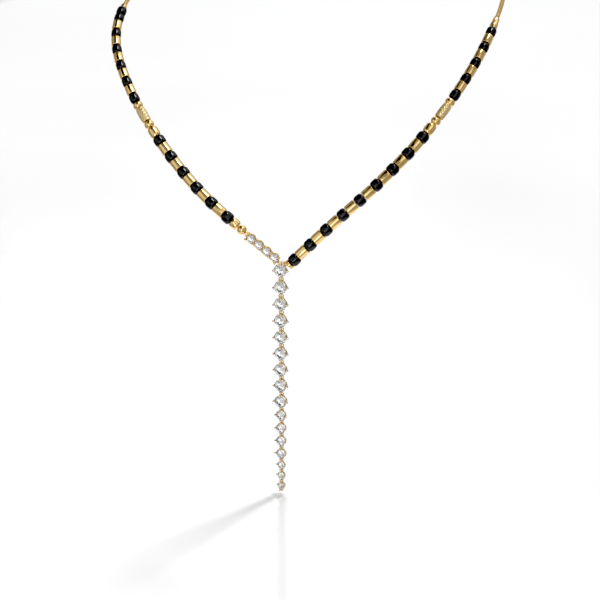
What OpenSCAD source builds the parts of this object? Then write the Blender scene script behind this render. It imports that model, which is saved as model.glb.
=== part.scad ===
// A mangalsutra: a Y-shaped gold necklace with black beads and a stone-set drop, in its worn form.
// The origin is the nape, where it hangs. +X is the viewer's right, -Y is toward the viewer, +Z is up.

/* [Strings of beads] */
// widest diameter of a black bead of the front run
bead_d = 2.8; // [2.5:0.05:2.9]
// length of a black bead of the front run
bead_len = 2.35; // [2.2:0.05:2.5]
// diameter of the flat ends of a front black bead
bead_end_d = 2.1; // [1.9:0.05:2.3]
// diameter of a gold tube of the front run
tube_d = 2.45; // [2.1:0.05:2.6]
// length of a gold tube of the front run
tube_len = 2.75; // [2.5:0.05:2.8]
// widest diameter of a black bead of the back run
back_bead_d = 2.56; // [2.3:0.05:2.8]
// length of a black bead of the back run
back_bead_len = 2.2; // [2:0.05:2.3]
// diameter of the flat ends of a back black bead
back_bead_end_d = 1.95; // [1.7:0.05:2.1]
// diameter of a gold tube of the back run
back_tube_d = 2.25; // [2:0.05:2.4]
// length of a gold tube of the back run
back_tube_len = 2.5; // [2.3:0.05:2.6]
// width of the broken edge of the gold tubes
edge = 0.15; // [0.1:0.01:0.2]
// free space between neighbours on a string
bead_gap = 0.14; // [0.12:0.01:0.16]
// the same in the back run, where the strings turn more
back_gap = 0.2; // [0.18:0.01:0.22]
// drilled hole of the beads
bore_d = 0.6; // [0.55:0.05:0.7]
// wire inside the strings
wire_d = 0.3; // [0.25:0.01:0.32]

/* [Gold beads] */
// diameter of the plain gold barrel below a textured tube
barrel_d = 2.5; // [2.2:0.05:2.7]
// length of the plain gold barrel
barrel_len = 2.85; // [2.6:0.05:2.9]
// diameter of the small gold balls
ball_d = 2.25; // [2.1:0.05:2.3]
// length of the small gold balls, less than their diameter
ball_len = 1.85; // [1.6:0.05:1.9]
// widest diameter of the textured tube
textured_d = 2.4; // [2.2:0.05:2.6]
// diameter of its ends
textured_end_d = 2.1; // [1.9:0.05:2.2]
// length of the textured tube
textured_len = 3.95; // [3.7:0.05:4]
// diameter of the round gold bead by the diamond bar
round_d = 2.4; // [2.2:0.05:2.5]
// length of the round gold bead
round_len = 2.1; // [1.9:0.05:2.1]
// diameter of the barrel bead by the diamond bar
end_barrel_d = 2.5; // [2.2:0.05:2.7]
// length of that barrel bead
end_barrel_len = 2.1; // [1.9:0.05:2.2]
// diameter of the thin gold disc
rondelle_d = 2.5; // [2.3:0.05:2.6]
// thickness of the thin gold disc
rondelle_t = 0.8; // [0.7:0.05:0.8]

/* [Diamond bar] */
// diameter of the four stones of the bar
bar_stone_d = 2.15; // [2:0.05:2.15]
// distance between their centres
bar_pitch = 2.43; // [2.42:0.01:2.5]
// place of the first one along the left string
bar_start = 1.32; // [1.3:0.01:1.36]
// half distance between the two rails of the bar
rail_apart = 0.6; // [0.57:0.01:0.62]
// wire of the rails
rail_d = 0.32; // [0.28:0.01:0.34]
// diameter of the bar's prongs
bar_prong_d = 0.4; // [0.34:0.01:0.42]
// ball on each of them
bar_ball_d = 0.62; // [0.56:0.01:0.64]
// distance of the stones of the bar in front of its rails
bar_out = 0.8; // [0.78:0.01:0.84]
// distance of the cup for the string's wire from the middle of the last stone
bar_tail = 1.15; // [1.1:0.05:1.25]
// outer diameter of the cup that holds the string's wire
wire_cup_d = 1.15; // [1.1:0.05:1.25]
// length of that cup
wire_cup_len = 0.75; // [0.7:0.05:0.85]

/* [Drop] */
// diameter of the largest stones of the drop
stone_d = 3.15; // [3:0.05:3.2]
// free space between a stone and its prongs
prong_clear = 0.09; // [0.09:0.01:0.11]
// diameter of a prong
prong_d = 0.4; // [0.39:0.01:0.44]
// ball at a prong's tip
tip_d = 0.58; // [0.54:0.01:0.6]
// radius of the ring at the back of a setting
back_r = 1; // [0.9:0.05:1.1]
// wire of the two rings of a setting
gallery_d = 0.36; // [0.32:0.01:0.4]
// distance of the stones in front of the plane of the links
stone_out = 0.9; // [0.88:0.01:0.95]
// distance of the back ring behind the plane of the links
setting_back = 0.7; // [0.65:0.05:0.8]
// wire of the links
link_d = 0.32; // [0.28:0.01:0.33]
// radius of the eye on top of a setting, to the middle of its wire
eye_r = 0.54; // [0.52:0.01:0.58]
// radius of the loop below a setting, to the middle of its wire
loop_r = 0.44; // [0.43:0.01:0.48]
// free space between a loop and the eye that hangs in it
link_gap = 0.05; // [0.04:0.01:0.06]
// turn of the last stone toward the viewer's left, in degrees
drop_turn = 45; // [0:1:50]
// number of stones in each group and their size, as a share of the largest
groups = [[9, 1], [4, 0.84], [3, 0.7]];

/* [Junction] */
// radius of the two small eyes that carry the strings, to the middle of their wire
shoulder_r = 0.42; // [0.4:0.01:0.44]
// wire of those eyes
shoulder_d = 0.22; // [0.2:0.01:0.24]
// angle of those eyes either side of the top, in degrees
shoulder_turn = 14.5; // [14:0.5:16]
// distance of the first stone of the drop below the junction
first_drop = 1.85; // [1.8:0.01:1.9]

/* [Chain and clasp] */
// diameter of the snake chain
chain_d = 1.2; // [1:0.05:1.2]
// free space round the chain in its caps
chain_clear = 0.1; // [0.09:0.01:0.11]
// length of the tulip cap on the right string
tulip_len = 3.1; // [2.9:0.05:3.2]
// widest diameter of the tulip cap
tulip_d = 2; // [1.9:0.05:2.2]
// diameter of both end caps where the chain goes in
cap_mouth_d = 1.6; // [1.55:0.05:1.7]
// length of the plain collar on the left string
collar_len = 0.95; // [0.9:0.05:1.1]
// length of the clasp's body
clasp_len = 8; // [7:0.1:8.2]
// diameter of the clasp's body
clasp_d = 3; // [2.5:0.1:3.5]
// radius of the clasp's eyes and of the rings in them, to the middle of the wire
ring_r = 0.9; // [0.85:0.01:1]
// wire of the clasp's eyes and rings
ring_d = 0.4; // [0.36:0.01:0.42]
// length of the cup at each end of the chain
cup_len = 2.6; // [2.4:0.1:3]
// outer diameter of that cup
cup_d = 1.9; // [1.7:0.05:2.1]

/* [Hidden] */
$fn = 24;
small_fn = 16;
tube_sides = 8;
steps = 14;

// the junction of the Y from the nape, and the routes of both strings from the junction
junction = [0, -122, -90];
right_points = [[1.5, 0, -1], [11.5, 2, 9], [22, 6, 18.5], [31.5, 12.5, 28], [39.5, 20.5, 38], [45.5, 30, 47.5],
    [49.5, 41, 57], [50, 50, 63.5], [48.5, 64, 69.5], [44.5, 79, 75], [38.5, 92, 79.5], [31, 104, 83.5]];
left_points = [[-0.5, 0, 0.5], [-13, 1.5, 10], [-22.5, 5.5, 17], [-32.5, 12, 26], [-41.5, 19.5, 36.5],
    [-47.5, 28.5, 46.5], [-48, 38, 54.5], [-44.5, 50, 60.5], [-39.5, 62, 64.5], [-37, 76, 70], [-34, 89, 75.5],
    [-29, 101.5, 80.5]];
// place of the first black bead along the right string
right_first = 2.6;
// black beads in the front and the back run
right_count = [9, 5];
left_count = [6, 5];

function unit(v) = v / norm(v);

// the chain's way out of its cup at the nape, to the right
nape_way = unit([0.97, -0.2, -0.13]);
ring_step = 2 * ring_r - ring_d - 0.1;
clasp_eye_x = clasp_len / 2 + ring_r;
nape_ring_x = clasp_eye_x + ring_step;
cup_reach = ring_r + ring_d / 4;
chain_seat = 1.2;
// the straight run into the cup, and the point where it begins to bend
last_run = [4, 9];

function flip(v, side) = [side * v[0], v[1], v[2]];
function nape_point(side, reach) = flip([nape_ring_x, 0, 0] + nape_way * reach, side);
chain_stop = cup_reach + cup_len - chain_seat;

function whole(points, side) = concat([for (p = points) p + junction],
    [for (run = [last_run[1], last_run[0], 0]) nape_point(side, chain_stop + run)]);
function pick(p, i) = i < 0 ? 2 * p[0] - p[1] : i >= len(p) ? 2 * p[len(p) - 1] - p[len(p) - 2] : p[i];
function cubic(a, b, c, d, t) = 0.5 * (2 * b + (c - a) * t + (2 * a - 5 * b + 4 * c - d) * t * t
    + (3 * b - a - 3 * c + d) * t * t * t);
function smooth(p) = concat([for (i = [0:len(p) - 2]) for (j = [0:steps - 1])
    cubic(pick(p, i - 1), p[i], p[i + 1], pick(p, i + 2), j / steps)], [p[len(p) - 1]]);
function run_lengths(q) = [for (i = 0, s = 0; i < len(q); i = i + 1,
    s = i < len(q) ? s + norm(q[i] - q[i - 1]) : s) s];
function tables(q, s) = [for (k = [0:2]) [for (i = [0:len(q) - 1]) [s[i], q[i][k]]]];
function path(points, side) = let (q = smooth(whole(points, side))) tables(q, run_lengths(q));
function at(way, s) = [for (k = [0:2]) lookup(s, way[k])];
function along(way, s) = unit(at(way, s + 0.4) - at(way, s - 0.4));
function path_end(way) = way[0][len(way[0]) - 1][0];

right = path(right_points, 1);
left = path(left_points, -1);

bead_pitch = bead_len + tube_len + 2 * bead_gap;
back_pitch = back_bead_len + back_tube_len + 2 * back_gap;

// places along the left string, from the diamond bar up to its first black bead
function bar_stone_s(i) = bar_start + i * bar_pitch;
function bar_post_s(i) = bar_start + (i - 0.5) * bar_pitch;
wire_cup_s = bar_stone_s(3) + bar_tail;
round_s = wire_cup_s + wire_cup_len + bead_gap + round_len / 2;
end_barrel_s = round_s + round_len / 2 + bead_gap + end_barrel_len / 2;
left_first = end_barrel_s + end_barrel_len / 2 + bead_gap + bead_len / 2;
rondelle_s = right_first - bead_len / 2 - bead_gap - rondelle_t / 2;

// places along a string, from the first black bead
function front_bead(first, i) = first + i * bead_pitch;
function front_end(first, count) = front_bead(first, count[0] - 1) + bead_len / 2 + bead_gap;
function ball_1(first, count) = front_end(first, count) + barrel_len + bead_gap + ball_len / 2;
function textured(first, count) = ball_1(first, count) + ball_len / 2 + bead_gap + textured_len / 2;
function ball_2(first, count) = textured(first, count) + textured_len / 2 + bead_gap + ball_len / 2;
function back_bead(first, count, i) = ball_2(first, count) + ball_len / 2 + back_gap + back_bead_len / 2
    + i * back_pitch;
right_top = back_bead(right_first, right_count, right_count[1] - 1) + back_bead_len / 2 + back_gap;
left_last = back_bead(left_first, left_count, left_count[1] - 1);
left_double = left_last + back_pitch;
left_top = left_double + back_bead_len * 1.5 + 2 * back_gap;

module place(way, s) {
  d = along(way, s);
  translate(at(way, s)) rotate([0, acos(d[2]), atan2(d[1], d[0])]) children();
}

module point_along(from, d) {
  translate(from) rotate([0, acos(d[2]), atan2(d[1], d[0])]) children();
}

module rod(a, b, d) {
  point_along(a, unit(b - a)) cylinder(h = norm(b - a), d = d, $fn = small_fn);
}

module ball(p, d) {
  translate(p) sphere(d = d, $fn = small_fn);
}

// a ball over a rod's bend or end is this much wider than the rod
bend = 1.08;

// a ring of round wire round the Z axis
module wire_ring(r, d) {
  rotate_extrude() translate([r, 0]) circle(d = d, $fn = small_fn);
}

// a drilled bead with a full round side
module drum(d, long, end_d) {
  bulge = (d - end_d) / 2;
  rotate_extrude() polygon(concat([[bore_d / 2, -long / 2]],
    [for (t = [-1, -0.85, -0.55, 0.55, 0.85, 1]) [d / 2 - bulge * pow(t, 4), long / 2 * t]],
    [[bore_d / 2, long / 2]]));
}

// a drilled tube with broken edges
module tube_bead(d, long) {
  rotate_extrude() polygon([[bore_d / 2, -long / 2], [d / 2 - edge, -long / 2], [d / 2, -long / 2 + edge],
    [d / 2, long / 2 - edge], [d / 2 - edge, long / 2], [bore_d / 2, long / 2]]);
}

// a drilled ball with flat ends
module drilled_ball(d, long) {
  difference() {
    intersection() {
      sphere(d = d);
      cube([d + 1, d + 1, long], center = true);
    }
    cylinder(h = long + 1, d = bore_d, center = true);
  }
}

// a round wire swept along points
module swept(points, d) {
  n = len(points);
  ring = [for (j = [0:tube_sides - 1]) 360 * j / tube_sides];
  verts = [for (i = [0:n - 1])
    let (way = unit(points[min(i + 1, n - 1)] - points[max(i - 1, 0)]), side = unit(cross([0, 0, 1], way)),
      up = cross(way, side))
    for (a = ring) points[i] + (side * cos(a) + up * sin(a)) * d / 2];
  skin = [for (i = [0:n - 2]) for (j = [0:tube_sides - 1])
    let (k = (j + 1) % tube_sides)
    [i * tube_sides + j, (i + 1) * tube_sides + j, (i + 1) * tube_sides + k, i * tube_sides + k]];
  polyhedron(points = verts, faces = concat([[for (j = [0:tube_sides - 1]) j]], skin,
    [[for (j = [tube_sides - 1:-1:0]) (n - 1) * tube_sides + j]]), convexity = 10);
}

function stretch(way, from, to, step) = let (n = ceil((to - from) / step))
  [for (i = [0:n]) at(way, from + (to - from) * i / n)];

// a round brilliant with its table up and the middle of its girdle at zero
module brilliant(d) {
  r = d / 2;
  girdle = 0.02 * d;
  table_r = 0.28 * d;
  crown = 0.15 * d;
  star_r = 0.37 * d;
  pavilion = 0.43 * d;
  low_r = 0.12 * d;
  half = 22.5;
  star_z = girdle / 2 + crown - (star_r * cos(half) - table_r) * crown / (r - table_r);
  low_z = -girdle / 2 - pavilion + low_r * cos(half) * pavilion / r;
  polyhedron(points = concat(
    [for (i = [0:7]) [table_r * cos(45 * i), table_r * sin(45 * i), girdle / 2 + crown]],
    [for (i = [0:7]) [star_r * cos(45 * i + half), star_r * sin(45 * i + half), star_z]],
    [for (i = [0:15]) [r * cos(half * i), r * sin(half * i), girdle / 2]],
    [for (i = [0:15]) [r * cos(half * i), r * sin(half * i), -girdle / 2]],
    [for (i = [0:7]) [low_r * cos(45 * i + half), low_r * sin(45 * i + half), low_z]],
    [[0, 0, -girdle / 2 - pavilion]]),
    faces = concat(
      [[for (i = [7:-1:0]) i]],
      [for (i = [0:7]) [i, (i + 1) % 8, 8 + i]],
      [for (i = [0:7]) [i, 8 + i, 16 + 2 * i]],
      [for (i = [0:7]) [i, 16 + 2 * i, 8 + (i + 7) % 8]],
      [for (i = [0:7]) [8 + i, 17 + 2 * i, 16 + 2 * i]],
      [for (i = [0:7]) [8 + i, 16 + (2 * i + 2) % 16, 17 + 2 * i]],
      [for (i = [0:15]) [16 + i, 16 + (i + 1) % 16, 32 + (i + 1) % 16]],
      [for (i = [0:15]) [16 + i, 32 + (i + 1) % 16, 32 + i]],
      [for (i = [0:7]) [48 + i, 32 + 2 * i, 33 + 2 * i]],
      [for (i = [0:7]) [48 + i, 33 + 2 * i, 32 + (2 * i + 2) % 16]],
      [for (i = [0:7]) [48 + i, 56, 32 + 2 * i]],
      [for (i = [0:7]) [48 + (i + 7) % 8, 32 + 2 * i, 56]]));
}

// sizes of a full-size setting; the others are the same setting, scaled
girdle_r = stone_d / 2 + prong_clear + prong_d / 2;
gallery_r = back_r + (girdle_r - back_r) * setting_back / (setting_back + stone_out);
// a tip ball stands this far outside the stone's edge and in front of it
tip_over = [0.1, 0.38];
tip_r = stone_d / 2 + tip_over[0];
tip_out = stone_out + tip_over[1];
// the eye and the loop are soldered on this far outside the middle of the front ring's wire
link_step = 0.05;
link_root = gallery_r + link_step;
shoulder_step = 0.13;
shoulder_out = gallery_r + shoulder_step + shoulder_r;

shares = [for (g = groups) for (i = [1:g[0]]) g[1]];
drop_count = len(shares);
function link_drop(i) = shares[i] * (link_root + 2 * loop_r) + shares[i + 1] * (link_root + 2 * eye_r)
    - link_d / 2 * (shares[i] + shares[i + 1]) - link_gap;
function drop_z(i) = i == 0 ? -first_drop : drop_z(i - 1) - link_drop(i - 1);
function drop_angle(i) = -drop_turn * pow(i / (drop_count - 1), 2);

module in_drop(i) {
  translate(junction + [0, 0, drop_z(i)]) rotate([0, 0, drop_angle(i)]) scale(shares[i]) children();
}

module prong() {
  rod([0, setting_back, back_r], [0, -stone_out, girdle_r], prong_d);
  ball([0, -stone_out, girdle_r], prong_d * bend);
  rod([0, -stone_out, girdle_r], [0, -tip_out, girdle_r], prong_d);
  ball([0, -tip_out, girdle_r], prong_d * bend);
  ball([0, -tip_out, tip_r], tip_d);
}

// a four-prong setting round the links' plane, open at the back
module setting() {
  for (a = [0:90:270]) rotate([0, a, 0]) prong();
  rotate([90, 0, 0]) wire_ring(gallery_r, gallery_d);
  translate([0, setting_back, 0]) rotate([90, 0, 0]) wire_ring(back_r, gallery_d);
}

module top_eye() {
  translate([0, 0, link_root + eye_r]) rotate([90, 0, 0]) wire_ring(eye_r, link_d);
}

module low_loop() {
  translate([0, 0, -link_root - loop_r]) rotate([0, 90, 0]) wire_ring(loop_r, link_d);
}

module shoulder_eyes() {
  for (side = [-1, 1]) rotate([0, side * shoulder_turn, 0]) translate([0, 0, shoulder_out])
    rotate([90, 0, 0]) wire_ring(shoulder_r, shoulder_d);
}

module drop_setting(i) {
  color([0.83, 0.62, 0.24]) in_drop(i) {
    setting();
    if (i == 0) {
      shoulder_eyes();
    } else {
      top_eye();
    }
    low_loop();
  }
}

module drop_stone(i) {
  color([0.95, 0.96, 0.98]) in_drop(i) translate([0, -stone_out, 0]) rotate([90, 0, 0]) brilliant(stone_d);
}

function shoulder_eye(side) = junction + [side * shoulder_out * sin(shoulder_turn), 0,
    shoulder_out * cos(shoulder_turn) - first_drop];

// the diamond bar stands on two rails along the left string, with its stones toward the viewer
function bar_front(s) = let (d = along(left, s)) unit([0, -1, 0] + d * d[1]);
function bar_side(s) = cross(along(left, s), bar_front(s));
function bar_point(s, across, out) = at(left, s) + bar_side(s) * across + bar_front(s) * out;
// below each stone a ring stands on the rails; four corner prongs lean out from the two end rings
bar_ring_r = 0.78;
bar_ring_out = 0.12;
bar_ring_d = 0.29;
// a rim joins the prongs close under each stone
bar_rim_r = 1.04;
bar_rim_out = bar_out - 0.38;
bar_rim_d = 0.3;
// the prongs' balls stand this far in front of the stones' girdles
bar_tip_rise = 0.25;
bar_tip_out = bar_out + bar_tip_rise;
corner_foot = 0.95;
corner_clear = 0.085;
corner_r = (bar_stone_d + bar_prong_d) / 2 + corner_clear;
// the rails run from before the first stone into the cup
rail_lead = 0.4;
rail_into_cup = 0.3;
rail_stops = [bar_start - rail_lead, bar_post_s(1), bar_post_s(2), bar_post_s(3), wire_cup_s + rail_into_cup];
// the loop that hangs in the left shoulder eye is soldered to the near side of the first ring
bar_ring_way = bar_point(bar_start, 0, bar_ring_out) - shoulder_eye(-1);
bar_loop_way = bar_ring_way * (1 - bar_ring_r / norm(bar_ring_way));
bar_loop_r = norm(bar_loop_way) / 2;
bar_loop_tilt = atan2(bar_loop_way[0], bar_loop_way[2]);
bar_loop_d = 0.24;

function corner(i, angle, r, out) = bar_point(bar_stone_s(i) + r * cos(angle), r * sin(angle), out);

module corner_prong(i, angle) {
  foot = corner(i, angle, corner_foot, bar_ring_out);
  knee = corner(i, angle, corner_r, bar_out);
  tip = corner(i, angle, corner_r, bar_tip_out);
  ball(foot, bar_prong_d * bend);
  rod(foot, knee, bar_prong_d);
  ball(knee, bar_prong_d * bend);
  rod(knee, tip, bar_prong_d);
  ball(tip, bar_ball_d);
}

module diamond_bar() {
  color([0.83, 0.62, 0.24]) {
    for (side = [-1, 1]) {
      for (i = [1:3]) {
        top = bar_point(bar_post_s(i), side * rail_apart, bar_tip_out);
        rod(bar_point(bar_post_s(i), side * rail_apart, 0), top, bar_prong_d);
        ball(top, bar_ball_d);
      }
      for (i = [0:3]) {
        rod(bar_point(rail_stops[i], side * rail_apart, 0), bar_point(rail_stops[i + 1], side * rail_apart, 0),
          rail_d);
      }
      for (s = rail_stops) ball(bar_point(s, side * rail_apart, 0), rail_d * bend);
      corner_prong(0, 180 + side * 45);
      corner_prong(3, side * 45);
    }
    for (i = [0:3]) {
      point_along(bar_point(bar_stone_s(i), 0, bar_ring_out), bar_front(bar_stone_s(i)))
        wire_ring(bar_ring_r, bar_ring_d);
      point_along(bar_point(bar_stone_s(i), 0, bar_rim_out), bar_front(bar_stone_s(i)))
        wire_ring(bar_rim_r, bar_rim_d);
    }
    translate(shoulder_eye(-1) + bar_loop_way / 2) rotate([0, bar_loop_tilt, 0]) rotate([0, 90, 0])
      wire_ring(bar_loop_r, bar_loop_d);
    place(left, wire_cup_s + wire_cup_len / 2) difference() {
      cylinder(h = wire_cup_len, d = wire_cup_d, center = true);
      cylinder(h = wire_cup_len + 1, d = wire_d + 2 * chain_clear, center = true);
    }
  }
}

module bar_stone(i) {
  color([0.95, 0.96, 0.98]) point_along(bar_point(bar_stone_s(i), 0, bar_out), bar_front(bar_stone_s(i)))
    brilliant(bar_stone_d);
}

module black_beads(way, first, count, tops) {
  color([0.06, 0.06, 0.07]) {
    for (i = [0:count[0] - 1]) place(way, front_bead(first, i)) drum(bead_d, bead_len, bead_end_d);
    for (i = [0:count[1] - 1]) {
      place(way, back_bead(first, count, i)) drum(back_bead_d, back_bead_len, back_bead_end_d);
    }
    for (s = tops) place(way, s) drum(back_bead_d, back_bead_len, back_bead_end_d);
  }
}

module gold_tubes(way, first, count, back_tubes) {
  color([0.86, 0.66, 0.28]) {
    for (i = [0:count[0] - 2]) place(way, front_bead(first, i + 0.5)) tube_bead(tube_d, tube_len);
    for (i = [0:back_tubes - 1]) {
      place(way, back_bead(first, count, i + 0.5)) tube_bead(back_tube_d, back_tube_len);
    }
  }
}

module textured_tube(way, first, count) {
  color([0.8, 0.6, 0.26]) place(way, textured(first, count)) drum(textured_d, textured_len, textured_end_d);
}

module gold_balls(way, first, count) {
  color([0.86, 0.66, 0.28]) {
    place(way, ball_1(first, count)) drilled_ball(ball_d, ball_len);
    place(way, ball_2(first, count)) drilled_ball(ball_d, ball_len);
  }
}

module gold_barrel(way, first, count) {
  color([0.86, 0.66, 0.28]) place(way, front_end(first, count) + barrel_len / 2) tube_bead(barrel_d, barrel_len);
}

module round_bead() {
  color([0.86, 0.66, 0.28]) place(left, round_s) drilled_ball(round_d, round_len);
}

module barrel_bead() {
  color([0.86, 0.66, 0.28]) place(left, end_barrel_s) tube_bead(end_barrel_d, end_barrel_len);
}

module rondelle() {
  color([0.86, 0.66, 0.28]) place(right, rondelle_s) tube_bead(rondelle_d, rondelle_t);
}

// the right wire ends in a bent hook through its shoulder eye, the left one in the bar's cup
hook_r = 0.41;
hook_out = unit(at(right, 0.1) - shoulder_eye(1));
function hook_point(a) = shoulder_eye(1) + hook_out * (hook_r + hook_r * cos(a)) + [0, -hook_r * sin(a), 0];

module strand_wire_right() {
  color([0.83, 0.62, 0.24]) swept(concat([for (a = [320:-28:40]) hook_point(a)],
    stretch(right, 0.3, right_top + 1, 1.3)), wire_d);
}

module strand_wire_left() {
  color([0.83, 0.62, 0.24]) swept(stretch(left, wire_cup_s + 0.05, left_top + 0.25, 1.3), wire_d);
}

// the tulip cap, with a small loop on its side
module end_cap_right() {
  color([0.86, 0.66, 0.28]) place(right, right_top + tulip_len / 2) {
    difference() {
      rotate_extrude() polygon([[0, -tulip_len / 2], [tulip_d * 0.42, -tulip_len / 2],
        [tulip_d / 2, -tulip_len * 0.3], [tulip_d * 0.47, -tulip_len * 0.05], [cap_mouth_d / 2, tulip_len * 0.3],
        [cap_mouth_d / 2, tulip_len / 2], [0, tulip_len / 2]]);
      translate([0, 0, -tulip_len]) cylinder(h = tulip_len, d = bore_d);
      translate([0, 0, tulip_len / 2 - chain_seat]) cylinder(h = chain_seat + 1, d = chain_d + 2 * chain_clear);
    }
    translate([-cap_mouth_d / 2 - 0.28, 0, tulip_len * 0.3]) rotate([90, 0, 0]) wire_ring(0.34, 0.24);
  }
}

module end_cap_left() {
  color([0.86, 0.66, 0.28]) place(left, left_top + collar_len / 2) difference() {
    cylinder(h = collar_len, d = cap_mouth_d, center = true);
    cylinder(h = collar_len + 1, d = bore_d, center = true);
    translate([0, 0, -collar_len / 2 + 0.35]) cylinder(h = collar_len, d = chain_d + 2 * chain_clear);
  }
}

module chain_right() {
  color([0.8, 0.6, 0.26]) swept(stretch(right, right_top + tulip_len - chain_seat + 0.1, path_end(right), 2.9),
    chain_d);
}

module chain_left() {
  color([0.8, 0.6, 0.26]) swept(stretch(left, left_top + 0.45, path_end(left), 2.9), chain_d);
}

// a cup on the end of the chain at the nape, with the ring that hangs in the clasp's eye
module chain_end(side) {
  color([0.86, 0.66, 0.28]) {
    point_along(nape_point(side, cup_reach), flip(nape_way, side)) difference() {
      cylinder(h = cup_len, d = cup_d);
      translate([0, 0, cup_len - chain_seat - 0.1]) cylinder(h = cup_len, d = chain_d + 2 * chain_clear);
    }
    translate(nape_point(side, 0)) wire_ring(ring_r, ring_d);
  }
}

module clasp() {
  color([0.86, 0.66, 0.28]) {
    rotate([0, 90, 0]) cylinder(h = clasp_len, d = clasp_d, center = true);
    for (side = [-1, 1]) translate([side * clasp_eye_x, 0, 0]) rotate([90, 0, 0]) wire_ring(ring_r, ring_d);
  }
}

clasp();
chain_end(-1);  // chain_end_left
chain_end(1);  // chain_end_right
chain_left();
chain_right();
end_cap_left();
end_cap_right();
strand_wire_left();
strand_wire_right();
union() {  // black_beads_left
  black_beads(left, left_first, left_count, [left_double, left_double + back_bead_len + back_gap]);
}
black_beads(right, right_first, right_count, []);  // black_beads_right
gold_tubes(left, left_first, left_count, left_count[1]);  // gold_tubes_left
gold_tubes(right, right_first, right_count, right_count[1] - 1);  // gold_tubes_right
textured_tube(left, left_first, left_count);  // textured_tube_left
textured_tube(right, right_first, right_count);  // textured_tube_right
gold_balls(left, left_first, left_count);  // gold_balls_left
gold_balls(right, right_first, right_count);  // gold_balls_right
gold_barrel(left, left_first, left_count);  // gold_barrel_left
gold_barrel(right, right_first, right_count);  // gold_barrel_right
round_bead();
barrel_bead();
rondelle();
diamond_bar();
bar_stone(0);  // bar_stone_1
bar_stone(1);  // bar_stone_2
bar_stone(2);  // bar_stone_3
bar_stone(3);  // bar_stone_4
drop_setting(0);  // drop_setting_1
drop_setting(1);  // drop_setting_2
drop_setting(2);  // drop_setting_3
drop_setting(3);  // drop_setting_4
drop_setting(4);  // drop_setting_5
drop_setting(5);  // drop_setting_6
drop_setting(6);  // drop_setting_7
drop_setting(7);  // drop_setting_8
drop_setting(8);  // drop_setting_9
drop_setting(9);  // drop_setting_10
drop_setting(10);  // drop_setting_11
drop_setting(11);  // drop_setting_12
drop_setting(12);  // drop_setting_13
drop_setting(13);  // drop_setting_14
drop_setting(14);  // drop_setting_15
drop_setting(15);  // drop_setting_16
drop_stone(0);  // drop_stone_1
drop_stone(1);  // drop_stone_2
drop_stone(2);  // drop_stone_3
drop_stone(3);  // drop_stone_4
drop_stone(4);  // drop_stone_5
drop_stone(5);  // drop_stone_6
drop_stone(6);  // drop_stone_7
drop_stone(7);  // drop_stone_8
drop_stone(8);  // drop_stone_9
drop_stone(9);  // drop_stone_10
drop_stone(10);  // drop_stone_11
drop_stone(11);  // drop_stone_12
drop_stone(12);  // drop_stone_13
drop_stone(13);  // drop_stone_14
drop_stone(14);  // drop_stone_15
drop_stone(15);  // drop_stone_16
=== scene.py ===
"""The looks of a Y-shaped gold necklace with black beads and a stone-set drop, over its CAD solids."""

import math

import bmesh
import bpy
import numpy as np
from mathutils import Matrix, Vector


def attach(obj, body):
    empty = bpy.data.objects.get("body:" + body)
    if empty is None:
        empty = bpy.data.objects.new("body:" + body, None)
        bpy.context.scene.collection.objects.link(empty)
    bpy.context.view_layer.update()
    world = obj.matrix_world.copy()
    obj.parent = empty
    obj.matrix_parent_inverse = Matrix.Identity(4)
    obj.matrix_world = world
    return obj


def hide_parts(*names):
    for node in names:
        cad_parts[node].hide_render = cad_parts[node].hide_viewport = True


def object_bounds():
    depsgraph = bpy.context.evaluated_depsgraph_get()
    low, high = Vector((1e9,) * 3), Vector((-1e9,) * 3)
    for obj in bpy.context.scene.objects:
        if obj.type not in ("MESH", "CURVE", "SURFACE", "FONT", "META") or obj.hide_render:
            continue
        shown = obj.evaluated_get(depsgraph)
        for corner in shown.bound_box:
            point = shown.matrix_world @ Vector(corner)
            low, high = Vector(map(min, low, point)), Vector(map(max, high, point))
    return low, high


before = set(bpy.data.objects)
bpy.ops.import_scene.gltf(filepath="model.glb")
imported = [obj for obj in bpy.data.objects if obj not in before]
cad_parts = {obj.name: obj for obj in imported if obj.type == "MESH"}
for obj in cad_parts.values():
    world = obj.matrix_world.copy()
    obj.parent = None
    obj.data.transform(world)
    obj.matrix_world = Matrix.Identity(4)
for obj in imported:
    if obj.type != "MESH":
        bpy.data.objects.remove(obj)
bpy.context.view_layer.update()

MM = 0.001
# where the two strings and the drop meet, in millimetres
JUNCTION = np.array([0.0, -122.0, -90.0])
CAMERA_FROM_JUNCTION = np.array([48.4, -277.7, 102.8])
CAMERA_AIM = Vector((-0.1444, 0.9173, -0.3711))

# the camera
camera = bpy.data.objects.new("camera", bpy.data.cameras.new("camera"))
bpy.context.scene.collection.objects.link(camera)
camera.data.sensor_width = 36.0
camera.data.lens = 73.8
camera.data.clip_start = 0.005
camera.data.clip_end = 50.0
camera.location = Vector(JUNCTION + CAMERA_FROM_JUNCTION) * MM
camera.rotation_euler = CAMERA_AIM.to_track_quat("-Z", "Y").to_euler()
bpy.context.scene.camera = camera

# the routes of the two strings, as in the part's source, in millimetres from the junction
RIGHT = [[1.5, 0, -1], [11.5, 2, 9], [22, 6, 18.5], [31.5, 12.5, 28], [39.5, 20.5, 38], [45.5, 30, 47.5],
         [49.5, 41, 57], [50, 50, 63.5], [48.5, 64, 69.5], [44.5, 79, 75], [38.5, 92, 79.5], [31, 104, 83.5]]
LEFT = [[-0.5, 0, 0.5], [-13, 1.5, 10], [-22.5, 5.5, 17], [-32.5, 12, 26], [-41.5, 19.5, 36.5],
        [-47.5, 28.5, 46.5], [-48, 38, 54.5], [-44.5, 50, 60.5], [-39.5, 62, 64.5], [-37, 76, 70],
        [-34, 89, 75.5], [-29, 101.5, 80.5]]
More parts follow.
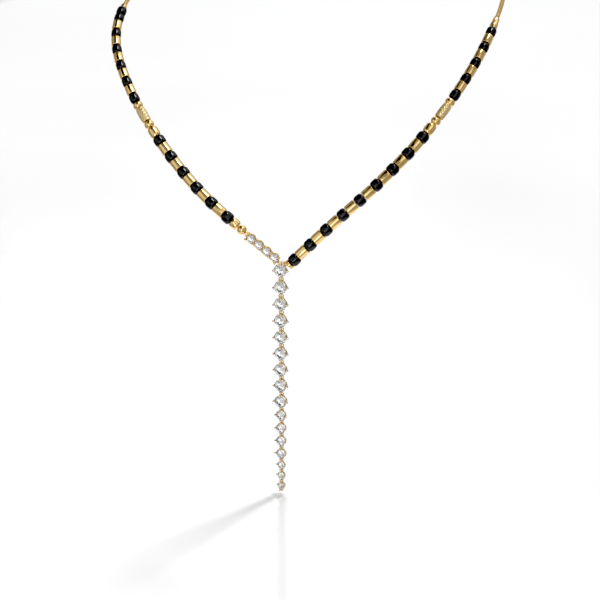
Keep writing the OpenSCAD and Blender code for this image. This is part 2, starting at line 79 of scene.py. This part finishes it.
# the last stretch of each route, seen from the ring at the nape: its direction, and its points by distance
NAPE_WAY = np.array([0.97, -0.2, -0.13])
NAPE_WAY = NAPE_WAY / np.linalg.norm(NAPE_WAY)
NAPE_RING = 6.2
CHAIN_STOP = 2.4
NAPE_RUNS = (9, 4, 0)


def matrix(x, y, z, origin):
    """A 4 by 4 matrix with these three axes and this origin."""
    m = np.eye(4)
    m[:3, 0], m[:3, 1], m[:3, 2], m[:3, 3] = x, y, z, origin
    return m


class Way:
    """A string's route as a smooth curve, with its places given by length in millimetres."""

    SPAN_STEPS = 28
    LOOK = 0.4

    def __init__(self, points, side):
        nape = [np.array([side, 1, 1]) * (np.array([NAPE_RING, 0, 0]) + NAPE_WAY * (CHAIN_STOP + run))
                for run in NAPE_RUNS]
        p = np.array([JUNCTION + np.array(q, float) for q in points] + nape)
        p = np.vstack([2 * p[0] - p[1], p, 2 * p[-1] - p[-2]])
        t = np.linspace(0, 1, self.SPAN_STEPS, endpoint=False)[:, None]
        spans = []
        for a, b, c, d in zip(p, p[1:], p[2:], p[3:]):
            spans.append(0.5 * (2 * b + (c - a) * t + (2 * a - 5 * b + 4 * c - d) * t ** 2
                                + (3 * b - a - 3 * c + d) * t ** 3))
        self.points = np.vstack(spans + [p[-2:-1]])
        steps = np.linalg.norm(np.diff(self.points, axis=0), axis=1)
        self.lengths = np.concatenate([[0], np.cumsum(steps)])
        self.end = self.lengths[-1]

    def at(self, s):
        return np.array([np.interp(s, self.lengths, self.points[:, k]) for k in range(3)])

    def along(self, s):
        ahead = self.at(s + self.LOOK) - self.at(s - self.LOOK)
        return ahead / np.linalg.norm(ahead)

    def axes(self, s):
        """Two unit vectors across the route at length s, and one along it."""
        z = self.along(s)
        x = np.cross([0, 0, 1], z)
        x /= np.linalg.norm(x)
        return x, np.cross(z, x), z

    def place(self, s):
        """A matrix that puts a piece made round the Z axis at length s."""
        return matrix(*self.axes(s), self.at(s))


right = Way(RIGHT, 1)
left = Way(LEFT, -1)

# Sizes along the strings, in millimetres: diameter, length and, where it is less, the ends' diameter.
# Lengths and gaps are as in the part's source. Some diameters are wider, as the photograph shows them.
BEAD = (2.98, 2.35, 2.18)
BACK_BEAD = (2.52, 2.2, 2.0)
TUBE = (2.68, 2.75)
BACK_TUBE = (2.44, 2.5)
BARREL = (2.6, 2.85, 2.0)
END_BARREL = (2.6, 2.1, 2.0)
BALL = (2.45, 1.85)
ROUND = (2.4, 2.1)
TEXTURED = (2.5, 3.95, 2.25)
RONDELLE = (2.5, 0.8)
BORE_R = 0.3
GAP, BACK_GAP = 0.14, 0.2
BAR_START, BAR_PITCH, BAR_TAIL, WIRE_CUP_LEN = 1.32, 2.43, 1.15, 0.75
BAR_STONES = range(1, 5)
PITCH = BEAD[1] + TUBE[1] + 2 * GAP
BACK_PITCH = BACK_BEAD[1] + BACK_TUBE[1] + 2 * BACK_GAP

# where each single piece and each string's first black bead sits
round_s = BAR_START + 3 * BAR_PITCH + BAR_TAIL + WIRE_CUP_LEN + GAP + ROUND[1] / 2
end_barrel_s = round_s + ROUND[1] / 2 + GAP + END_BARREL[1] / 2
left_first = end_barrel_s + END_BARREL[1] / 2 + GAP + BEAD[1] / 2
right_first = 2.6
rondelle_s = right_first - BEAD[1] / 2 - GAP - RONDELLE[1] / 2


def stations(first, front, back):
    """Where each piece of a string sits along its route."""
    s = {"black": [first + i * PITCH for i in range(front)]}
    s["tube"] = [first + (i + 0.5) * PITCH for i in range(front - 1)]
    edge = s["black"][-1] + BEAD[1] / 2 + GAP
    s["barrel"] = edge + BARREL[1] / 2
    s["ball_1"] = edge + BARREL[1] + GAP + BALL[1] / 2
    s["textured"] = s["ball_1"] + BALL[1] / 2 + GAP + TEXTURED[1] / 2
    s["ball_2"] = s["textured"] + TEXTURED[1] / 2 + GAP + BALL[1] / 2
    start = s["ball_2"] + BALL[1] / 2 + BACK_GAP + BACK_BEAD[1] / 2
    s["back_black"] = [start + i * BACK_PITCH for i in range(back)]
    s["back_tube"] = [start + (i + 0.5) * BACK_PITCH for i in range(back - 1)]
    s["top"] = s["back_black"][-1] + BACK_BEAD[1] / 2 + BACK_GAP
    return s


right_stations = stations(right_first, 9, 5)
left_stations = stations(left_first, 6, 5)
# the left string ends in one more tube and two black beads together
left_stations["back_tube"].append(left_stations["back_black"][-1] + BACK_PITCH / 2)
double = left_stations["back_black"][-1] + BACK_PITCH
left_stations["back_black"] += [double, double + BACK_BEAD[1] + BACK_GAP]
left_stations["top"] = double + BACK_BEAD[1] * 1.5 + 2 * BACK_GAP


# the materials
def material(name):
    m = bpy.data.materials.new(name)
    m.use_nodes = True
    return m, m.node_tree, m.node_tree.nodes["Principled BSDF"]


def node(tree, kind, **inputs):
    n = tree.nodes.new(kind)
    for key, value in inputs.items():
        n.inputs[key.replace("_", " ")].default_value = value
    return n


def noise(tree, scale, detail=3.0):
    coords = tree.nodes.new("ShaderNodeTexCoord")
    n = node(tree, "ShaderNodeTexNoise", Scale=scale, Detail=detail)
    tree.links.new(coords.outputs["Object"], n.inputs["Vector"])
    return n.outputs["Fac"]


def two_colours(tree, source, low, high):
    """A ramp from one colour to another; low and high are a position and a colour each."""
    r = tree.nodes.new("ShaderNodeValToRGB")
    for element, (position, colour) in zip(r.color_ramp.elements, (low, high)):
        element.position = position
        element.color = (*colour, 1)
    tree.links.new(source, r.inputs["Fac"])
    return r.outputs["Color"]


def between(tree, source, low, high):
    m = node(tree, "ShaderNodeMapRange", To_Min=low, To_Max=high)
    tree.links.new(source, m.inputs["Value"])
    return m.outputs["Result"]


def mixed(tree, factor, first, second):
    """A mix of two colours, each one a socket or the value of a grey."""
    mix = tree.nodes.new("ShaderNodeMix")
    mix.data_type = "RGBA"
    factor_in, first_in, second_in, result = mix.inputs[0], mix.inputs[6], mix.inputs[7], mix.outputs[2]
    tree.links.new(factor, factor_in)
    for socket, value in ((first_in, first), (second_in, second)):
        if isinstance(value, float):
            socket.default_value = (value, value, value, 1)
        else:
            tree.links.new(value, socket)
    return result


def bump(tree, bsdf, height, strength, distance):
    b = node(tree, "ShaderNodeBump", Strength=strength, Distance=distance)
    tree.links.new(height, b.inputs["Height"])
    tree.links.new(b.outputs["Normal"], bsdf.inputs["Normal"])


def gold(name, light, deep, rough, wear):
    m, t, b = material(name)
    b.inputs["Metallic"].default_value = 1.0
    t.links.new(two_colours(t, noise(t, 900.0, 2.0), (0.3, deep), (0.7, light)), b.inputs["Base Color"])
    t.links.new(between(t, noise(t, 2600.0, 4.0), *rough), b.inputs["Roughness"])
    bump(t, b, noise(t, 7000.0, 5.0), wear, 0.00002)
    return m


def black_glass():
    m, t, b = material("black_glass")
    tint = two_colours(t, noise(t, 1200.0), (0.35, (0.0008, 0.0008, 0.001)), (0.7, (0.003, 0.003, 0.0035)))
    t.links.new(tint, b.inputs["Base Color"])
    t.links.new(between(t, noise(t, 3000.0), 0.06, 0.16), b.inputs["Roughness"])
    b.inputs["IOR"].default_value = 1.85
    bump(t, b, noise(t, 1500.0, 2.0), 0.08, 0.00005)
    return m


def clear_stone():
    m, t, b = material("clear_stone")
    b.inputs["Transmission Weight"].default_value = 1.0
    b.inputs["IOR"].default_value = 2.2
    tint = two_colours(t, noise(t, 500.0), (0.3, (0.985, 0.99, 1.0)), (0.7, (1.0, 1.0, 1.0)))
    t.links.new(tint, b.inputs["Base Color"])
    b.inputs["Roughness"].default_value = 0.0
    return m


def pale_floor():
    """Glossy paper: grey where the floor's attribute is 0, white where it is 1; that attribute holds painted
    shade and light as well as the grey.
    """
    m, t, b = material("pale_floor")
    white = two_colours(t, noise(t, 3.0), (0.3, (0.8, 0.8, 0.805)), (0.7, (0.82, 0.82, 0.82)))
    tone = t.nodes.new("ShaderNodeAttribute")
    tone.attribute_name = "card_and_painted_light"
    t.links.new(mixed(t, tone.outputs["Fac"], 0.3, white), b.inputs["Base Color"])
    b.inputs["Roughness"].default_value = 0.1
    b.inputs["IOR"].default_value = 1.6
    return m


def flag_cloth():
    m, _, b = material("flag_cloth")
    b.inputs["Base Color"].default_value = (0.02, 0.02, 0.02, 1)
    b.inputs["Roughness"].default_value = 0.9
    b.inputs["Specular IOR Level"].default_value = 0.0
    return m


GOLD = gold("polished_gold", (1.0, 0.76, 0.4), (0.95, 0.69, 0.34), (0.05, 0.15), 0.06)
SETTING = gold("setting_gold", (0.98, 0.86, 0.66), (0.9, 0.77, 0.56), (0.08, 0.2), 0.08)
CHAIN = gold("snake_chain_gold", (1.0, 0.79, 0.45), (0.92, 0.7, 0.38), (0.12, 0.24), 0.1)
SATIN = gold("satin_gold", (1.0, 0.84, 0.5), (0.98, 0.77, 0.43), (0.24, 0.36), 0.2)
BLACK = black_glass()
STONE = clear_stone()
PAPER = pale_floor()
DARK = flag_cloth()


# the mesh makers
def dress(mesh, name, mat, body, replaced, sharp):
    """Makes a piece of a mesh: smooth but for edges of more than sharp degrees, or faceted where it is 0."""
    merged = bmesh.new()
    merged.from_mesh(mesh)
    bmesh.ops.remove_doubles(merged, verts=merged.verts, dist=1e-7)
    bmesh.ops.recalc_face_normals(merged, faces=merged.faces)
    merged.to_mesh(mesh)
    merged.free()
    if sharp:
        mesh.shade_smooth()
        mesh.set_sharp_from_angle(angle=math.radians(sharp))
    else:
        mesh.shade_flat()
    obj = bpy.data.objects.new(name, mesh)
    bpy.context.scene.collection.objects.link(obj)
    mesh.materials.clear()
    mesh.materials.append(mat)
    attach(obj, body)
    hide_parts(*replaced)


def redress(name, mat, body, sharp, new_name):
    """A piece with exactly a CAD node's shape."""
    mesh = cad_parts[name].data.copy()
    mesh.name = new_name
    dress(mesh, new_name, mat, body, [name], sharp)


def hose_faces(rows, sides):
    """The faces between so many closed rows of points, each joined to the next."""
    return [(j * sides + i, j * sides + (i + 1) % sides,
             (j + 1) * sides + (i + 1) % sides, (j + 1) * sides + i)
            for j in range(rows - 1) for i in range(sides)]


class Maker:
    """Collects closed solids, in millimetres, into one mesh."""

    def __init__(self):
        self.verts, self.faces, self.count = [], [], 0

    def add(self, verts, faces, m=None):
        v = np.asarray(verts, float)
        if m is not None:
            v = v @ m[:3, :3].T + m[:3, 3]
        self.verts.append(v)
        self.faces += [tuple(i + self.count for i in f) for f in faces]
        self.count += len(v)

    def add_mesh(self, mesh):
        """Takes in a CAD node's mesh as it is."""
        self.add([np.array(v.co) / MM for v in mesh.vertices], [tuple(p.vertices) for p in mesh.polygons])

    def turned(self, profile, m, sides=40):
        """A closed profile of (radius, height) turned round Z."""
        n = len(profile)
        angles = np.linspace(0, 2 * np.pi, sides, endpoint=False)
        v = [(r * math.cos(a), r * math.sin(a), z) for a in angles for r, z in profile]
        f = []
        for i in range(sides):
            k = (i + 1) % sides
            for j in range(n):
                after = (j + 1) % n
                f.append((i * n + j, k * n + j, k * n + after, i * n + after))
        self.add(v, f, m)

    def build(self, name, mat, body, replaced, sharp=40):
        mesh = bpy.data.meshes.new(name)
        mesh.from_pydata([tuple(v) for v in np.vstack(self.verts) * MM], [], self.faces)
        dress(mesh, name, mat, body, replaced, sharp)


def arc(cx, cz, r, start, end, n):
    return [(cx + r * math.cos(math.radians(start + (end - start) * i / n)),
             cz + r * math.sin(math.radians(start + (end - start) * i / n))) for i in range(n + 1)]


def drum(d, length, end_d, grow=0.03):
    """A bead with a round side and softly broken edges."""
    fillet, chamfer = 0.14, 0.1
    h = length / 2 + grow
    bulge = (d - end_d) / 2
    curve = [(d / 2 - bulge * t ** 4, h * t) for t in np.linspace(-0.93, 0.93, 17)]
    low = arc(end_d / 2 - fillet, -h + fillet, fillet, -90, -25, 4)
    high = arc(end_d / 2 - fillet, h - fillet, fillet, 25, 90, 4)
    return ([(BORE_R, -h + chamfer), (BORE_R + chamfer, -h)] + low + curve + high
            + [(BORE_R + chamfer, h), (BORE_R, h - chamfer)])


def straight(d, half, fillet, steps, groove=()):
    """A plain gold tube or disc with rounded edges and, if given, a groove in its side."""
    low = arc(d / 2 - fillet, -half + fillet, fillet, -90, 0, steps)
    high = arc(d / 2 - fillet, half - fillet, fillet, 0, 90, steps)
    return [(BORE_R, -half)] + low + list(groove) + high + [(BORE_R, half)]


def tube(d, length):
    return straight(d, length / 2 + 0.03, 0.16, 6)


def grooved_disc(d, thick):
    """A thin gold disc with a groove round its middle."""
    floor_r = d / 2 - 0.32
    return straight(d, thick / 2, 0.14, 4, [(d / 2, -0.09), (floor_r, -0.05), (floor_r, 0.05), (d / 2, 0.09)])


def globe(d, length):
    h = length / 2
    lift = math.degrees(math.asin(h / (d / 2)))
    return [(BORE_R, -h)] + arc(0, 0, d / 2, -lift, lift, 18) + [(BORE_R, h)]


def netted(d, length, end_d):
    """A tube, a little slimmer at its ends, with a net of small cut diamonds all over."""
    sides, rings = 144, 96
    diamonds_round, diamonds_per_mm, depth = 9, 1.2, 0.085
    plain_share, end_drop = 0.07, 0.05
    v = []
    for j in range(rings + 1):
        t = 2 * j / rings - 1
        smooth_r = d / 2 - (d - end_d) / 2 * t * t
        near_end = min(1.0, (1 - abs(t)) / plain_share)
        w = length * t / 2 * diamonds_per_mm
        for i in range(sides):
            a = 2 * math.pi * i / sides
            u = diamonds_round * a / (2 * math.pi)
            knurl = abs(math.sin(math.pi * (u + w))) * abs(math.sin(math.pi * (u - w)))
            r = smooth_r - depth * near_end * (1 - knurl) - end_drop * (1 - near_end)
            v.append((r * math.cos(a), r * math.sin(a), length / 2 * t))
    f = hose_faces(rings + 1, sides)
    base = len(v)
    for z in (-length / 2, length / 2):
        v += [(BORE_R * math.cos(2 * math.pi * i / sides), BORE_R * math.sin(2 * math.pi * i / sides), z)
              for i in range(sides)]
    for i in range(sides):
        k = (i + 1) % sides
        f.append((i, base + i, base + k, k))
        f.append((rings * sides + k, base + sides + k, base + sides + i, rings * sides + i))
    return v, f


# the strings of beads
def string_piece(name, profiles, way, mat, replaced, sides=56):
    """One piece of turned beads; profiles is a list of a profile and its places each."""
    maker = Maker()
    for profile, places in profiles:
        for s in places:
            maker.turned(profile, way.place(s), sides)
    maker.build(name, mat, "neck", [replaced])


for side, way, s in (("left", left, left_stations), ("right", right, right_stations)):
    string_piece("glass_beads_" + side, [(drum(*BEAD), s["black"]), (drum(*BACK_BEAD), s["back_black"])],
                 way, BLACK, "black_beads_" + side, 40)
    string_piece("plain_tubes_" + side, [(tube(*TUBE), s["tube"]), (tube(*BACK_TUBE), s["back_tube"])],
                 way, GOLD, "gold_tubes_" + side)
    string_piece("plain_barrel_" + side, [(drum(*BARREL, grow=0), [s["barrel"]])],
                 way, GOLD, "gold_barrel_" + side)
    string_piece("small_balls_" + side, [(globe(*BALL), [s["ball_1"], s["ball_2"]])],
                 way, GOLD, "gold_balls_" + side, 40)
    cut = Maker()
    cut.add(*netted(*TEXTURED), way.place(s["textured"]))
    cut.build("cut_tube_" + side, SATIN, "neck", ["textured_tube_" + side], 50)

string_piece("end_barrel", [(drum(*END_BARREL, grow=0), [end_barrel_s])],
             left, GOLD, "barrel_bead")
string_piece("round_gold_bead", [(globe(*ROUND), [round_s])], left, GOLD, "round_bead")
string_piece("gold_disc", [(grooved_disc(*RONDELLE), [rondelle_s])], right, GOLD, "rondelle")

# the snake chain, which starts inside the tulip cap on the right and beside the collar on the left
CHAIN_D, TULIP_LEN, SEAT = 1.17, 3.1, 1.2
LEFT_CHAIN_GAP, RIGHT_CHAIN_GAP = 0.45, 0.1


def snake(way, start):
    """A round snake chain: short waved plates that lie close behind each other."""
    plate, rows_per_plate, sides = 0.42, 4, 14
    wave, lip_depth = 0.13, 0.17
    rows = int((way.end - start) / plate) * rows_per_plate
    v = []
    for j in range(rows + 1):
        s = start + (way.end - start) * j / rows
        x, y, z = way.axes(s)
        lip = (j % rows_per_plate) / rows_per_plate
        r = CHAIN_D / 2 * (1.0 - lip_depth * (1 - math.sin(math.pi * min(1.0, lip * 1.3)) ** 0.6))
        for i in range(sides):
            a = 2 * math.pi * i / sides
            lean = z * wave * math.cos(2 * a) if 0 < j < rows else 0
            v.append(way.at(s) + lean + r * (x * math.cos(a) + y * math.sin(a)))
    ends = [tuple(range(sides - 1, -1, -1)), tuple(rows * sides + i for i in range(sides))]
    return v, hose_faces(rows + 1, sides) + ends


for side, way, start in (("left", left, left_stations["top"] + LEFT_CHAIN_GAP),
                         ("right", right, right_stations["top"] + TULIP_LEN - SEAT + RIGHT_CHAIN_GAP)):
    chain = Maker()
    chain.add(*snake(way, start))
    chain.build("snake_chain_" + side, CHAIN, "neck", ["chain_" + side], 25)

# the drop's sizes, as in the part's source; a share is a setting's size against the largest
SHARES = [1.0] * 9 + [0.84] * 4 + [0.7] * 3
KNEE_R, BACK_R, GALLERY_R = 1.865, 1.0, 1.378
KNEE_OUT, BACK_IN, EYE_R, LOOP_R, WIRE_R = 0.9, 0.7, 0.54, 0.44, 0.16
LINK_ROOT = GALLERY_R + 0.05
FIRST_DROP, LINK_GAP, DROP_TURN = 1.85, 0.05, 45


def drop_places():
    """For each setting of the drop, a matrix from its own millimetres to the part's."""
    places, z = [], -FIRST_DROP
    for i, share in enumerate(SHARES):
        if i:
            above = SHARES[i - 1]
            z -= (above * (LINK_ROOT + 2 * LOOP_R) + share * (LINK_ROOT + 2 * EYE_R)
                  - WIRE_R * (above + share) - LINK_GAP)
        turn = -math.radians(DROP_TURN) * (i / (len(SHARES) - 1)) ** 2
        x = share * np.array([math.cos(turn), math.sin(turn), 0])
        y = share * np.array([-math.sin(turn), math.cos(turn), 0])
        places.append(matrix(x, y, share * np.array([0, 0, 1]), JUNCTION + np.array([0, 0, z])))
    return places


def cheek(side):
    """A thin wall from the side of a setting's eye down to its side prong."""
    top_front, top_back = np.array([0.5, -0.12, 1.72]), np.array([0.42, 0.16, 1.62])
    low_front, low_back = np.array([KNEE_R, -KNEE_OUT, 0.04]), np.array([BACK_R + 0.1, BACK_IN - 0.15, 0.04])
    inward = np.array([-0.55, -0.3, -0.35])
    thickness, outer_share, edge_share = 0.26, 0.35, 0.14
    inward = inward / np.linalg.norm(inward) * thickness
    outer, inner = -inward * outer_share, inward * (1 - outer_share)
    v, steps, corners = [], 10, 6
    for k in range(steps + 1):
        t = k / steps
        swell = np.array([0.1, 0, 0.16]) * math.sin(math.pi * t)
        front = top_front + (low_front - top_front) * t + swell
        back = top_back + (low_back - top_back) * t + swell
        edge = (back - front) * edge_share
        v += [q * np.array([side, 1, 1]) for q in (front, front + edge + outer, back - edge + outer,
                                                   back, back - edge + inner, front + edge + inner)]
    ends = [tuple(range(corners)), tuple(steps * corners + j for j in range(corners))]
    return v, hose_faces(steps + 1, corners) + ends


def web():
    """The metal that fills the lower half of a setting's eye, below the loop that hangs in it."""
    r, half_thickness = 0.44, 0.08
    rim = [(r * math.cos(a), r * math.sin(a)) for a in np.linspace(math.pi * 1.03, math.pi * 1.97, 13)]
    v = [(x, y, LINK_ROOT + EYE_R + z) for y in (-half_thickness, half_thickness) for x, z in rim]
    n = len(rim)
    sides = [(j, j + n, (j + 1) % n + n, (j + 1) % n) for j in range(n)]
    return v, [tuple(range(n)), tuple(range(2 * n - 1, n - 1, -1))] + sides


for i, place in enumerate(drop_places(), 1):
    body = "neck" if i == 1 else "drop"
    setting = Maker()
    setting.add_mesh(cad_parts["drop_setting_%d" % i].data)
    for side in (-1, 1):
        setting.add(*cheek(side), place)
    if i > 1:
        setting.add(*web(), place)
    setting.build("prong_setting_%d" % i, SETTING, body, ["drop_setting_%d" % i], 30)
    redress("drop_stone_%d" % i, STONE, body, 0, "brilliant_%d" % i)


# the bar, with a thin bezel round each of its stones
def bezel(i):
    """The profile of the bezel round one stone of the bar, and a matrix that puts it there."""
    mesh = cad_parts["bar_stone_%d" % i].data
    stone = np.array([list(v.co) for v in mesh.vertices]) / MM
    run = left.along(BAR_START + (i - 1) * BAR_PITCH)
    out = np.array([0, -1, 0]) + run * run[1]
    out /= np.linalg.norm(out)
    across = np.cross(out, run)
    middle = sum((np.ptp(stone @ axis) / 2 + (stone @ axis).min()) * axis for axis in (run, across))
    radii = np.linalg.norm(stone - middle - np.outer(stone @ out, out), axis=1)
    girdle = (stone @ out)[np.argmax(radii)] * out
    r = radii.max() + 0.03
    profile = [(r, -0.5), (r + 0.17, -0.5), (r + 0.22, -0.1), (r + 0.17, 0.02), (r, 0.0)]
    return profile, matrix(run, across, out, middle + girdle)


bar = Maker()
bar.add_mesh(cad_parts["diamond_bar"].data)
for i in BAR_STONES:
    bar.turned(*bezel(i), 32)
bar.build("prong_bar", GOLD, "neck", ["diamond_bar"], 30)
for i in BAR_STONES:
    redress("bar_stone_%d" % i, STONE, "neck", 0, "bar_brilliant_%d" % i)

# the other pieces that keep their CAD shape
for name in ("end_cap_left", "end_cap_right", "chain_end_left", "chain_end_right", "clasp"):
    redress(name, GOLD, "neck", 30, "smooth_" + name)
for name in ("strand_wire_left", "strand_wire_right"):
    redress(name, GOLD, "neck", 60, "smooth_" + name)

# the floor, in metres: a grey card starts in front of the drop's foot and runs away from the camera
FLOOR_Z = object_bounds()[0][2] - 0.0004
CARD_START = (0.048, -0.4)
CARD_WAY = (-0.1555, 0.9878)
CARD_REACHES = (0.24, 0.28, 0.34, 0.42, 0.55, 0.64, 0.89)
# painted shade: the white floor is painted darker round and behind the drop's foot and lighter farther off,
# to even out the lamps so that the lit floor comes out just white
PAINTED_SHADE_BY_REACH = (0.85, 0.79, 0.7, 0.66, 0.79, 0.94, 1.0)


def step(value, low_edge, high_edge):
    """Rises smoothly from 0 at the low edge to 1 at the high one."""
    t = min(1.0, max(0.0, (value - low_edge) / (high_edge - low_edge)))
    return t * t * (3 - 2 * t)


def card_and_painted_light(x, y):
    """How white the floor is: white behind the piece and far off, grey near its front and sides; the white
    part carries painted shade and light that even out the lamps.
    """
    dx, dy = x - CARD_START[0], y - CARD_START[1]
    reach = dx * CARD_WAY[0] + dy * CARD_WAY[1]
    aside = abs(dx * CARD_WAY[1] - dy * CARD_WAY[0])
    behind = step(reach, 0.17, 0.215) * (1 - step(aside - 0.25 * reach, 0.012, 0.04))
    far = step(math.hypot(x, y + 0.12), 0.45, 1.3)
    # painted shade: darker round and behind the drop's foot, lighter far off, to even out the lamps
    painted_light_and_shade = np.interp(reach, CARD_REACHES, PAINTED_SHADE_BY_REACH)
    # painted light: the white floor is lighter towards the sides of the camera's view, where the lamps light
    # it less
    painted_light_and_shade += (1 - painted_light_and_shade) * 0.65 * step(aside / (0.226 * reach + 0.017), 0.4, 1.0)
    return max(behind, far) * painted_light_and_shade


xs = np.concatenate([np.linspace(-6, -1.5, 8), np.arange(-1.4, -0.8, 0.1), np.arange(-0.76, 0.78, 0.02),
                     np.arange(0.8, 1.5, 0.1), np.linspace(1.6, 6, 8)])
ys = np.concatenate([np.linspace(-6, -1.5, 8), np.arange(-1.4, -0.4, 0.1), np.arange(-0.38, 0.6, 0.01),
                     np.linspace(0.62, 6, 24)])
spots = [(x, y, FLOOR_Z) for y in ys for x in xs]
squares = [(j * len(xs) + i, j * len(xs) + i + 1, (j + 1) * len(xs) + i + 1, (j + 1) * len(xs) + i)
           for j in range(len(ys) - 1) for i in range(len(xs) - 1)]


def staged(name, verts, faces, mat):
    """An object of the studio, which isn't part of the necklace."""
    mesh = bpy.data.meshes.new(name)
    mesh.from_pydata(verts, [], faces)
    mesh.materials.append(mat)
    obj = bpy.data.objects.new(name, mesh)
    bpy.context.scene.collection.objects.link(obj)
    return obj


floor = staged("floor", spots, squares, PAPER)
# the floor's attribute: the grey card, with painted shade and light on its white part
tones = floor.data.attributes.new("card_and_painted_light", "FLOAT", "POINT")
tones.data.foreach_set("value", [card_and_painted_light(x, y) for x, y, _ in spots])


def area(name, place, size, power, target, mirrored):
    lamp = bpy.data.lights.new(name, "AREA")
    lamp.shape = "RECTANGLE"
    lamp.size, lamp.size_y = size
    lamp.energy = power
    obj = bpy.data.objects.new(name, lamp)
    bpy.context.scene.collection.objects.link(obj)
    obj.location = place
    obj.rotation_euler = (Vector(target) - Vector(place)).to_track_quat("-Z", "Y").to_euler()
    obj.visible_camera = False
    obj.visible_glossy = mirrored
    obj.visible_diffuse = not mirrored


# key and sweep light the floor and cast the shadow; the other two only show in metal, glass and stones
area("key", (1.37, 1.73, 2.6), (0.6, 0.6), 70.3, (0, -0.1, -0.09), False)
area("sweep", (-0.6, 1.5, 1.2), (1.6, 1.0), 20.6, (-0.4, 1.3, -0.17), False)
area("top_glint", (0.25, -0.122, 0.88), (0.22, 0.22), 1.0, (0, -0.122, -0.09), True)
area("low_strip", (-0.1, -1.3, -0.08), (0.35, 0.12), 0.26, (0, -0.1, -0.09), True)


def flag(name, place, across, along):
    """A black flag, seen only in the mirrors of the metal and the stones."""
    w, h = np.array(across) / 2, np.array(along) / 2
    obj = staged(name, [tuple(-w - h), tuple(w - h), tuple(w + h), tuple(h - w)], [(0, 1, 2, 3)], DARK)
    obj.location = place
    obj.visible_camera = False
    obj.visible_shadow = False
    obj.visible_diffuse = False


flag("flag_front", (0.15, -0.57, 0.25), (0.14, 0, 0), (0, 0, 0.14))
flag("flag_top", (-0.155, -0.08, 0.26), (0.12, 0, 0), (0, 0.36, 0))
flag("flag_side", (-0.255, -0.27, 0.26), (0.12, 0, 0), (0, 0.17, 0))
flag("flag_bar", (-0.045, -0.275, 0.25), (0.11, -0.16, 0), (0.026, 0.018, 0))

# the studio's walls: grey, with soft round patches of another tone round a direction, in degrees from it
WALL_TONE = 0.31
PATCHES = (((0.02, -0.95, 0.3), 10, 27, 1.05),
           ((0.45, -0.6, 0.66), 8, 30, 0.85),
           ((-0.72, -0.6, 0.35), 8, 30, 0.68),
           ((0.52, 0.42, 0.72), 14, 36, 0.85),
           ((0.98, 0.0, -0.1), 15, 45, 0.34),
           ((-0.5, 0.8, 0.35), 10, 30, 0.3),
           ((-0.15, 0.83, 0.54), 8, 20, 1.5))
world = bpy.data.worlds.new("studio")
bpy.context.scene.world = world
world.use_nodes = True
studio = world.node_tree
coords = studio.nodes.new("ShaderNodeTexCoord")


def patch(direction, inner, outer):
    """1 inside a soft round patch of the studio round a direction, 0 outside."""
    dot = studio.nodes.new("ShaderNodeVectorMath")
    dot.operation = "DOT_PRODUCT"
    dot.inputs[1].default_value = Vector(direction).normalized()
    unit = studio.nodes.new("ShaderNodeVectorMath")
    unit.operation = "NORMALIZE"
    studio.links.new(coords.outputs["Generated"], unit.inputs[0])
    studio.links.new(unit.outputs["Vector"], dot.inputs[0])
    soft = node(studio, "ShaderNodeMapRange", From_Min=math.cos(math.radians(outer)),
                From_Max=math.cos(math.radians(inner)))
    soft.interpolation_type = "SMOOTHSTEP"
    studio.links.new(dot.outputs["Value"], soft.inputs["Value"])
    return soft.outputs["Result"]


walls = WALL_TONE
for direction, inner, outer, patch_tone in PATCHES:
    walls = mixed(studio, patch(direction, inner, outer), walls, patch_tone)
background = studio.nodes["Background"]
studio.links.new(walls, background.inputs["Color"])
background.inputs["Strength"].default_value = 1.0

view = bpy.context.scene.view_settings
view.view_transform = "Standard"
view.look = "Medium High Contrast"
view.use_curve_mapping = True
view.curve_mapping.black_level = (0.035, 0.035, 0.035)
